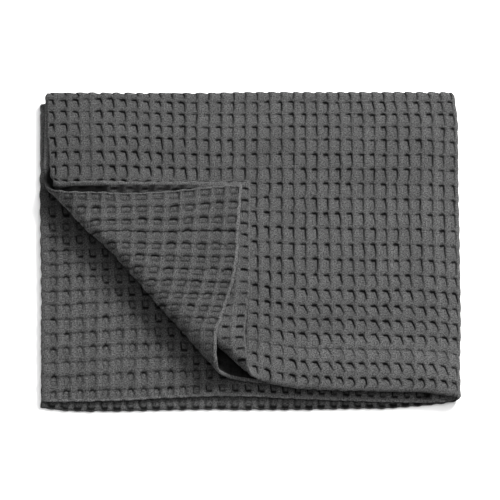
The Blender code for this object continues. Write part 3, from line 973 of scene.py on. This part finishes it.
def cloth_object():
    """The cloth as one mesh object, with its flat places, looks and uv."""
    points, faces, cloth, looks = build_cloth()
    mesh = bpy.data.meshes.new("blanket_cloth")
    mesh.from_pydata(points.tolist(), [], faces)
    mesh.polygons.foreach_set("use_smooth", [True] * len(mesh.polygons))
    mesh.update()
    for name, values in looks.items():
        attribute = mesh.attributes.new(name, "FLOAT", "POINT")
        attribute.data.foreach_set("value", values.astype(np.float32))
    attribute = mesh.attributes.new("cloth", "FLOAT_VECTOR", "POINT")
    attribute.data.foreach_set("vector", cloth.ravel().astype(np.float32))
    corners = np.empty(len(mesh.loops), dtype=np.int32)
    mesh.loops.foreach_get("vertex_index", corners)
    flat = mesh.uv_layers.new(name="flat")
    below = 0.5 * (cloth[corners, 2] > 0.8 * INNER_LEVEL)
    places = 0.5 * cloth[corners, :2] + np.stack([np.zeros(len(corners)), below], axis=1)
    flat.data.foreach_set("uv", places.ravel().astype(np.float32))
    return add_object("blanket_cloth", mesh)


class Nodes:
    """Shorthands for the node tree of one material. An input is set to a number or linked."""

    def __init__(self, name):
        self.material = bpy.data.materials.new(name)
        self.material.use_nodes = True
        self.tree = self.material.node_tree
        self.shader = self.tree.nodes["Principled BSDF"]

    def fill(self, node, inputs):
        for name, value in inputs.items():
            if isinstance(value, bpy.types.NodeSocket):
                self.tree.links.new(value, node.inputs[name])
            else:
                node.inputs[name].default_value = value

    def node(self, kind, inputs):
        node = self.tree.nodes.new(kind)
        self.fill(node, inputs)
        return node

    def math(self, operation, first, second=0.0):
        node = self.node("ShaderNodeMath", {0: first, 1: second})
        node.operation = operation
        return node.outputs[0]

    def spread(self, value, low, high, at_low, at_high):
        ends = {"From Min": low, "From Max": high, "To Min": at_low, "To Max": at_high}
        return self.node("ShaderNodeMapRange", {"Value": value, **ends}).outputs[0]

    def attribute(self, name, output="Fac"):
        node = self.node("ShaderNodeAttribute", {})
        node.attribute_name = name
        return node.outputs[output]

    def noise(self, place, scale, detail, roughness):
        inputs = {"Vector": place, "Scale": scale, "Detail": detail, "Roughness": roughness}
        return self.node("ShaderNodeTexNoise", inputs).outputs["Fac"]

    def yarns(self, place, direction):
        inputs = {"Vector": place, "Scale": YARNS, "Distortion": 2.0, "Detail": 1.0, "Detail Scale": 120.0}
        node = self.node("ShaderNodeTexWave", inputs)
        node.bands_direction = direction
        return node.outputs["Fac"]


# Scales of the fibres, the uneven dye and the yarns, and stitches per metre.
FIBRES = 600.0
PATCHES = 28.0
YARNS = 260.0
STITCHES = 300.0


def stitch_line(n, place):
    """1 on the stitches that sew the hems down, all along the four edges, and 0 elsewhere."""
    parts = n.node("ShaderNodeSeparateXYZ", {0: place}).outputs
    sewn = []
    for this, other, size in ((0, 1, LENGTH), (1, 0, WIDTH)):
        from_edge = n.math("MINIMUM", parts[this], n.math("SUBTRACT", size, parts[this]))
        away = n.math("ABSOLUTE", n.math("SUBTRACT", from_edge, HEM))
        line = n.spread(away, 0.0004, 0.0009, 1.0, 0.0)
        along = n.math("FRACT", n.math("MULTIPLY", parts[other], STITCHES))
        sewn.append(n.math("MULTIPLY", line, n.spread(along, 0.62, 0.70, 1.0, 0.0)))
    return n.math("MAXIMUM", sewn[0], sewn[1])


def charcoal_cotton():
    """Matt charcoal cotton: yarns along the ribs and across the bands, fuzzy, darker in the grooves by
    painted shade.
    """
    n = Nodes("charcoal_cotton")
    n.fill(n.shader, {"Roughness": 0.95, "Specular IOR Level": 0.04})
    n.fill(n.shader, {"Sheen Weight": 0.03, "Sheen Roughness": 0.6})
    place = n.attribute("cloth", "Vector")
    fibre = n.noise(place, FIBRES, 2.0, 0.7)
    patch = n.noise(place, PATCHES, 2.0, 0.5)
    share = n.attribute("threads")
    across = n.math("MULTIPLY", n.yarns(place, "Y"), share)
    along = n.math("MULTIPLY", n.yarns(place, "X"), n.math("SUBTRACT", 1.0, share))
    yarn = n.math("ADD", across, along)
    stitches = stitch_line(n, place)
    # Painted light and shade from the mesh, with a random part from cell to cell.
    shade = n.attribute("tone")
    for value, low, high, at_low, at_high in (
        (fibre, 0.32, 0.68, 0.18, 1.82),
        (yarn, 0.0, 1.0, 0.90, 1.10),
        (patch, 0.3, 0.7, 0.94, 1.06),
        # Painted shade darkens the grooves.
        (n.attribute("groove"), 0.0, 0.75, 1.0, 0.05),
        (stitches, 0.0, 1.0, 1.0, 0.80),
    ):
        shade = n.math("MULTIPLY", shade, n.spread(value, low, high, at_low, at_high))
    shade = n.math("MULTIPLY", shade, ALBEDO)
    colour = n.node("ShaderNodeCombineColor", {"Red": shade, "Green": shade, "Blue": shade})
    height = n.math("ADD", n.math("MULTIPLY", fibre, 1.2), n.math("MULTIPLY", yarn, 0.5))
    height = n.math("SUBTRACT", height, n.math("MULTIPLY", stitches, 0.8))
    bump = n.node("ShaderNodeBump", {"Strength": 0.6, "Distance": 0.0004, "Height": height})
    n.fill(n.shader, {"Base Color": colour.outputs[0], "Normal": bump.outputs["Normal"]})
    return n.material


def add_floor():
    """The plain pale floor, which isn't part of the object."""
    bpy.ops.mesh.primitive_plane_add(size=8.0, location=(0, 0, 0))
    floor = bpy.context.object
    floor.name = "floor"
    n = Nodes("pale_floor")
    n.fill(n.shader, {"Base Color": (0.92, 0.92, 0.92, 1.0), "Roughness": 0.9})
    floor.data.materials.append(n.material)


def aim(thing, place, target):
    """Put a light or a camera at a place, facing the target."""
    forward = (Vector(target) - Vector(place)).normalized()
    rotation = forward.to_track_quat("-Z", "Y").to_matrix().to_4x4()
    thing.matrix_world = Matrix.Translation(Vector(place)) @ rotation


def add_light(name, place, target, size, power):
    """An area light at a place, facing the target."""
    data = bpy.data.lights.new(name, "AREA")
    data.shape = "RECTANGLE"
    data.size, data.size_y = size
    data.energy = power
    aim(add_object(name, data), place, target)


CAMERA_ANGLE = 72.0  # degrees above the floor
CAMERA_AWAY = 5.0
CAMERA_TARGET_Z = 0.010
CAMERA_RISE = 0.0024  # how far the view is shifted up, which puts the blanket in its place in the frame


def add_camera():
    """The camera at the photograph's viewing angle, from the front and 72 degrees up."""
    data = bpy.data.cameras.new("camera")
    data.sensor_width = 36.0
    data.lens = 300.0
    data.clip_end = 20.0
    camera = add_object("camera", data)
    angle = np.radians(CAMERA_ANGLE)
    up = np.array([0, np.sin(angle), np.cos(angle)])
    target = np.array([-CENTRE[0], -CENTRE[1], CAMERA_TARGET_Z]) + CAMERA_RISE * up
    aim(camera, target + CAMERA_AWAY * np.array([0, -np.cos(angle), np.sin(angle)]), target)
    bpy.context.scene.camera = camera


def add_world(strength):
    """Even white light from all round."""
    world = bpy.data.worlds.new("studio")
    world.use_nodes = True
    background = world.node_tree.nodes["Background"].inputs
    background["Color"].default_value = (1, 1, 1, 1)
    background["Strength"].default_value = strength
    bpy.context.scene.world = world


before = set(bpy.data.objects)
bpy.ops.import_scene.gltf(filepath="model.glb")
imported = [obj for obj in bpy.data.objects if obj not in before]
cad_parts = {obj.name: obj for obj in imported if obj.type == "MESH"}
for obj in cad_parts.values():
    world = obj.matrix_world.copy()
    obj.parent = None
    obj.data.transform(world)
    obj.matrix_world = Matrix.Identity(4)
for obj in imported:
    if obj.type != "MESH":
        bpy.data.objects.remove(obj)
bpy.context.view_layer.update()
add_camera()
add_world(0.12)
add_floor()
add_light("key", (1.4, 1.6, 1.5), (0, 0, 0), (1.0, 0.8), 175)
add_light("top", (0, 0.2, 2.6), (0, 0, 0), (3.0, 3.0), 75)
cloth = cloth_object()
cloth.data.materials.append(charcoal_cotton())
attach(cloth, "root")
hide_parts("blanket")
bpy.context.scene.view_settings.view_transform = "Standard"
